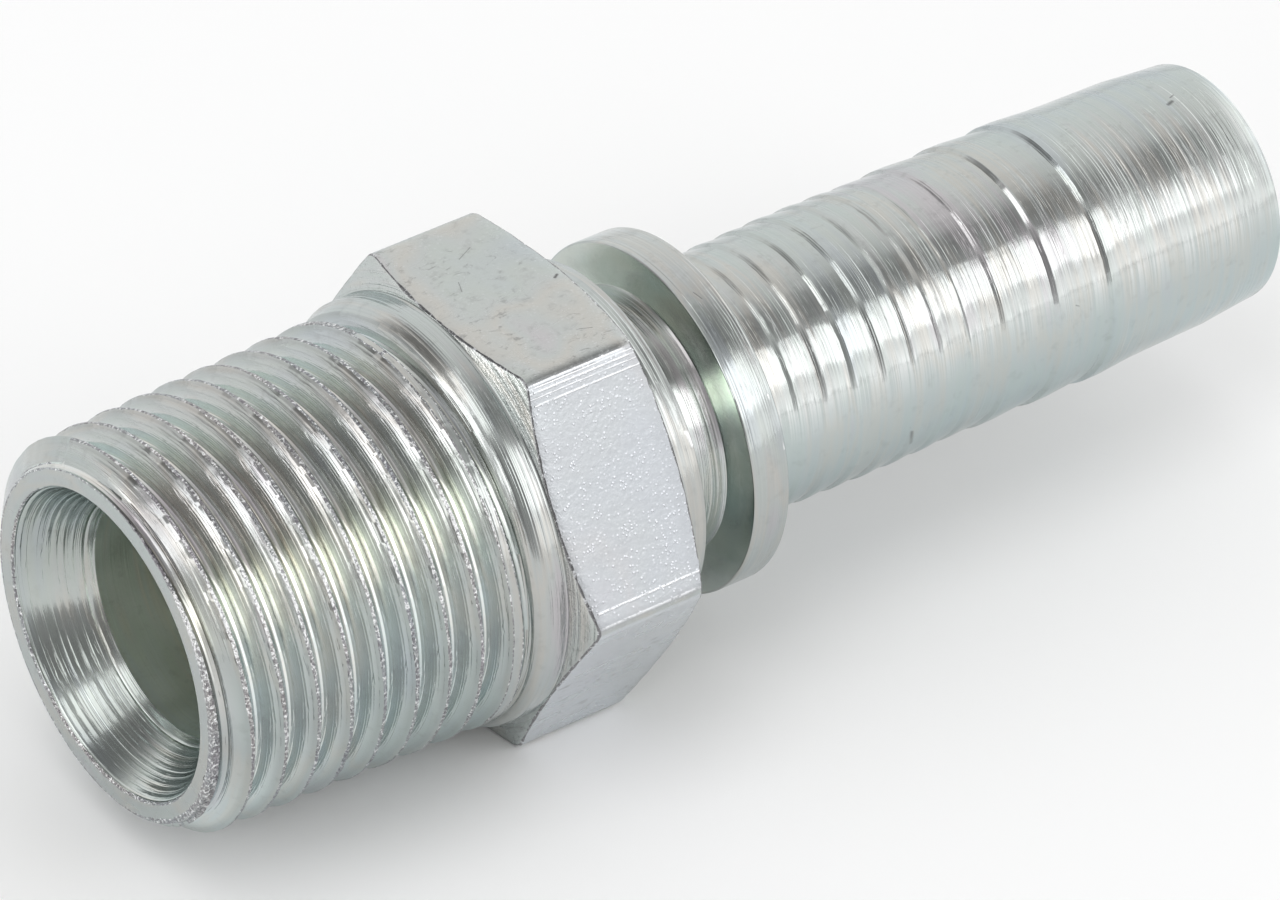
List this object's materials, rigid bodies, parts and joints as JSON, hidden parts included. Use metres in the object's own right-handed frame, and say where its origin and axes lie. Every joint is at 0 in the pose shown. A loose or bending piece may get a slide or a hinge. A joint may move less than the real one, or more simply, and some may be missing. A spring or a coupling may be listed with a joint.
{
  "type": "hydraulic hose fitting",
  "caption": "Turned steel hose insert: taper pipe thread with a cone seat, spanner hexagon, retaining groove, stop collar and a barbed hose tail, bored right through.",
  "frame": {"origin": "centre of the threaded end face, on the axis", "axes": "+X along the axis from the threaded end to the hose end, +Z square to the hexagon flat that faces up; the fitting lies on the opposite flat"},
  "size_m": [0.0664, 0.0252, 0.022],
  "materials": {
    "plated_steel": "turned steel, zinc plated and blue-silver passivated, with fine lathe rings"
  },
  "bodies": {
    "root": {"hose_insert": "plated_steel"}
  },
  "joints": []
}
